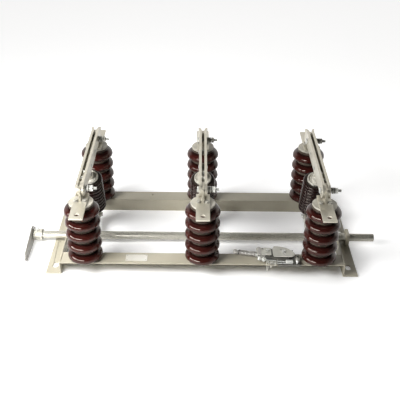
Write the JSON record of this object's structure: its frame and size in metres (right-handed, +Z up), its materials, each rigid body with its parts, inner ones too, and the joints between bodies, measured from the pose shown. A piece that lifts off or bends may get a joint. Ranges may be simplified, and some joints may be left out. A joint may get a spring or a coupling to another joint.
{
  "type": "disconnect switch",
  "caption": "Outdoor high-voltage disconnect switch: blades on brown post insulators over an angle-iron frame, lifted together by a shaft, cranks and drag insulators.",
  "frame": {"origin": "midway between the end poles and between the two insulator rows, on the floor under the frame's feet", "axes": "+X along the frame towards the shaft's free end, +Y from the hinge side to the jaw side, +Z up"},
  "size_m": [1.252, 0.63, 0.338],
  "materials": {
    "frame_paint": "satin warm grey paint",
    "brown_glaze": "glossy dark brown glaze on porcelain",
    "plated_metal": "satin silver-coloured plating on copper",
    "cap_metal": "light grey painted cast iron",
    "zinc_steel": "zinc-plated",
    "bare_plate": "matte, blank"
  },
  "bodies": {
    "frame": {"front_beam": "frame_paint", "rear_beam": "frame_paint", "left_end_member": "frame_paint", "right_end_member": "frame_paint", "shaft_bearing": "frame_paint", "nameplate": "bare_plate", "post_insulator_front_left": "brown_glaze", "post_insulator_front_middle": "brown_glaze", "post_insulator_front_right": "brown_glaze", "post_insulator_rear_left": "brown_glaze", "post_insulator_rear_middle": "brown_glaze", "post_insulator_rear_right": "brown_glaze", "hinge_terminal_left": "plated_metal", "hinge_terminal_middle": "plated_metal", "hinge_terminal_right": "plated_metal", "jaw_terminal_left": "plated_metal", "jaw_terminal_middle": "plated_metal", "jaw_terminal_right": "plated_metal", "drive_base": "zinc_steel", "drive_quadrant": "zinc_steel", "drive_handle": "zinc_steel"},
    "shaft": {"operating_shaft": "frame_paint", "operating_lever": "zinc_steel", "stop_collar": "frame_paint", "crank_left": "frame_paint", "crank_middle": "frame_paint", "crank_right": "frame_paint"},
    "left_blade": {"blade_left": "plated_metal", "hinge_bolt_left": "zinc_steel", "contact_bolt_left": "zinc_steel"},
    "left_drag_link": {"drag_upper_fitting_left": "cap_metal", "drag_insulator_left": "brown_glaze", "drag_lower_fitting_left": "cap_metal"},
    "middle_blade": {"blade_middle": "plated_metal", "hinge_bolt_middle": "zinc_steel", "contact_bolt_middle": "zinc_steel"},
    "middle_drag_link": {"drag_upper_fitting_middle": "cap_metal", "drag_insulator_middle": "brown_glaze", "drag_lower_fitting_middle": "cap_metal"},
    "right_blade": {"blade_right": "plated_metal", "hinge_bolt_right": "zinc_steel", "contact_bolt_right": "zinc_steel"},
    "right_drag_link": {"drag_upper_fitting_right": "cap_metal", "drag_insulator_right": "brown_glaze", "drag_lower_fitting_right": "cap_metal"}
  },
  "joints": [
    {"name": "shaft_turn", "type": "hinge", "parent": "frame", "child": "shaft", "pos_m": [0, -0.037, 0.0275], "axis": [1, 0, 0], "range_deg": [0, 70]},
    {"name": "left_blade_turn", "type": "hinge", "parent": "frame", "child": "left_blade", "pos_m": [-0.4, -0.183, 0.314], "axis": [1, 0, 0], "range_deg": [0, 41.8]},
    {"name": "left_drag_turn", "type": "hinge", "parent": "left_blade", "child": "left_drag_link", "pos_m": [-0.4, -0.022, 0.308], "axis": [1, 0, 0], "range_deg": [-53.18, 0]},
    {"name": "middle_blade_turn", "type": "hinge", "parent": "frame", "child": "middle_blade", "pos_m": [0, -0.183, 0.314], "axis": [1, 0, 0], "range_deg": [0, 41.8]},
    {"name": "middle_drag_turn", "type": "hinge", "parent": "middle_blade", "child": "middle_drag_link", "pos_m": [0, -0.022, 0.308], "axis": [1, 0, 0], "range_deg": [-53.18, 0]},
    {"name": "right_blade_turn", "type": "hinge", "parent": "frame", "child": "right_blade", "pos_m": [0.4, -0.183, 0.314], "axis": [1, 0, 0], "range_deg": [0, 41.8]},
    {"name": "right_drag_turn", "type": "hinge", "parent": "right_blade", "child": "right_drag_link", "pos_m": [0.4, -0.022, 0.308], "axis": [1, 0, 0], "range_deg": [-53.18, 0]}
  ],
  "couplings": [
    {"joint": "left_blade_turn", "follows": "shaft_turn", "ratio": 0.5971},
    {"joint": "left_drag_turn", "follows": "shaft_turn", "ratio": -0.7597},
    {"joint": "middle_blade_turn", "follows": "shaft_turn", "ratio": 0.5971},
    {"joint": "middle_drag_turn", "follows": "shaft_turn", "ratio": -0.7597},
    {"joint": "right_blade_turn", "follows": "shaft_turn", "ratio": 0.5971},
    {"joint": "right_drag_turn", "follows": "shaft_turn", "ratio": -0.7597}
  ]
}
